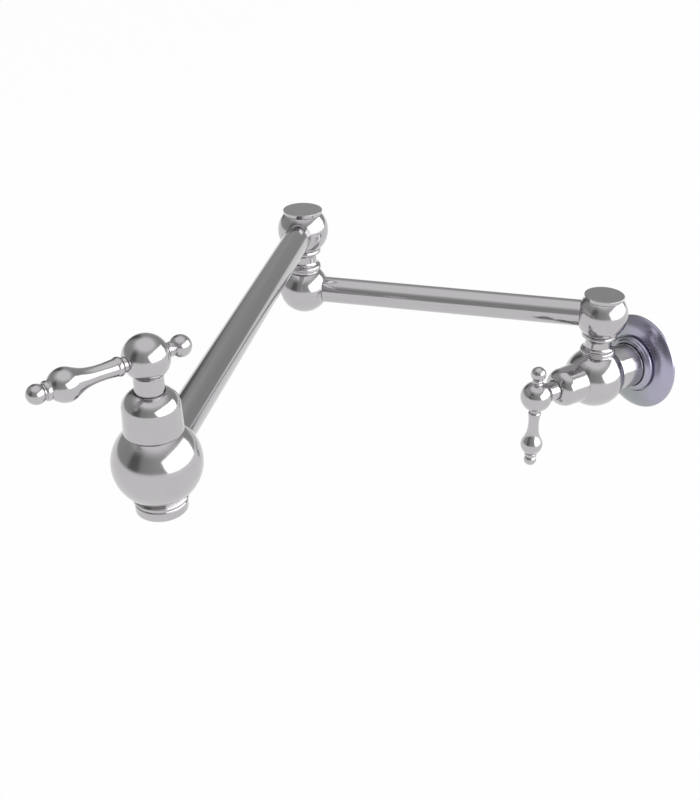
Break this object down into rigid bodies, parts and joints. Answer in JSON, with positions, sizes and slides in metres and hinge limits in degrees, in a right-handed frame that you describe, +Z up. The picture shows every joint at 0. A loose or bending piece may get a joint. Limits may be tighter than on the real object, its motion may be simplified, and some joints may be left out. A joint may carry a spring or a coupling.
{
  "type": "wall mounted pot filler",
  "caption": "Double-jointed swing-arm tap that reaches out from a wall, with a lever valve at the wall and another over the spout.",
  "frame": {"origin": "where the axis of the threaded inlet meets the finished wall", "axes": "+Y into the wall along the inlet, +Z up, +X to the right of someone who faces the wall; the wall is the plane Y = 0"},
  "size_m": [0.2692, 0.473, 0.221],
  "materials": {
    "polished_metal": "polished",
    "brushed_tube": "finely brushed",
    "brass": "machined",
    "stainless_steel": "satin",
    "ceramic": "lapped",
    "rubber": "matte",
    "black_plastic": "satin",
    "grey_plastic": "moulded"
  },
  "bodies": {
    "base": {"wall_flange": "polished_metal", "wall_gasket": "rubber", "flange_o_ring": "rubber", "inlet_shank": "polished_metal", "inlet_seal": "rubber", "wall_valve_body": "polished_metal", "wall_cartridge_seal": "rubber", "wall_fixed_disc": "ceramic", "wall_cartridge": "brass", "wall_cartridge_o_ring": "rubber", "wall_bonnet": "polished_metal", "wall_swivel_post": "polished_metal", "wall_swivel_post_seal": "rubber", "wall_swivel_o_rings": "rubber", "wall_swivel_thrust_washer": "black_plastic", "wall_swivel_retaining_washer": "stainless_steel", "wall_swivel_retaining_screw": "stainless_steel"},
    "wall_handle": {"wall_turning_disc": "ceramic", "wall_stem": "brass", "wall_stem_o_rings": "rubber", "wall_stem_clip": "stainless_steel", "wall_handle_hub": "polished_metal", "wall_handle_lever": "polished_metal", "wall_handle_finial": "polished_metal", "wall_handle_grub_screw": "stainless_steel"},
    "inner_arm": {"wall_swivel_head": "polished_metal", "wall_swivel_cap": "polished_metal", "inner_arm_tube": "brushed_tube", "elbow_body": "polished_metal", "elbow_swivel_post": "polished_metal", "elbow_swivel_post_seal": "rubber", "elbow_swivel_o_rings": "rubber", "elbow_swivel_thrust_washer": "black_plastic", "elbow_swivel_retaining_washer": "stainless_steel", "elbow_swivel_retaining_screw": "stainless_steel"},
    "outer_arm": {"elbow_swivel_head": "polished_metal", "elbow_swivel_cap": "polished_metal", "outer_arm_tube": "brushed_tube", "spout_valve_body": "polished_metal", "spout_cartridge_seal": "rubber", "spout_fixed_disc": "ceramic", "spout_cartridge": "brass", "spout_cartridge_o_ring": "rubber", "spout_bonnet": "polished_metal", "aerator_housing": "polished_metal", "aerator_insert": "grey_plastic", "aerator_screens": "stainless_steel", "aerator_seal": "rubber", "outlet_o_ring": "rubber"},
    "spout_handle": {"spout_turning_disc": "ceramic", "spout_stem": "brass", "spout_stem_o_rings": "rubber", "spout_stem_clip": "stainless_steel", "spout_handle_hub": "polished_metal", "spout_handle_lever": "polished_metal", "spout_handle_finial": "polished_metal", "spout_handle_grub_screw": "stainless_steel"}
  },
  "joints": [
    {"name": "wall_handle_turn", "type": "hinge", "parent": "base", "child": "wall_handle", "pos_m": [0, -0.0457, 0], "axis": [0, -1, 0], "range_deg": [0, 90]},
    {"name": "wall_swing", "type": "hinge", "parent": "base", "child": "inner_arm", "pos_m": [0, -0.0457, 0.05002], "axis": [0, 0, 1], "range_deg": [-44.6, 135.4]},
    {"name": "elbow_swing", "type": "hinge", "parent": "inner_arm", "child": "outer_arm", "pos_m": [-0.15665, -0.20017, 0.09595], "axis": [0, 0, 1], "continuous": true},
    {"name": "spout_handle_turn", "type": "hinge", "parent": "outer_arm", "child": "spout_handle", "pos_m": [0.07209, -0.41573, 0.15205], "axis": [0, 0, 1], "range_deg": [0, 90]}
  ]
}
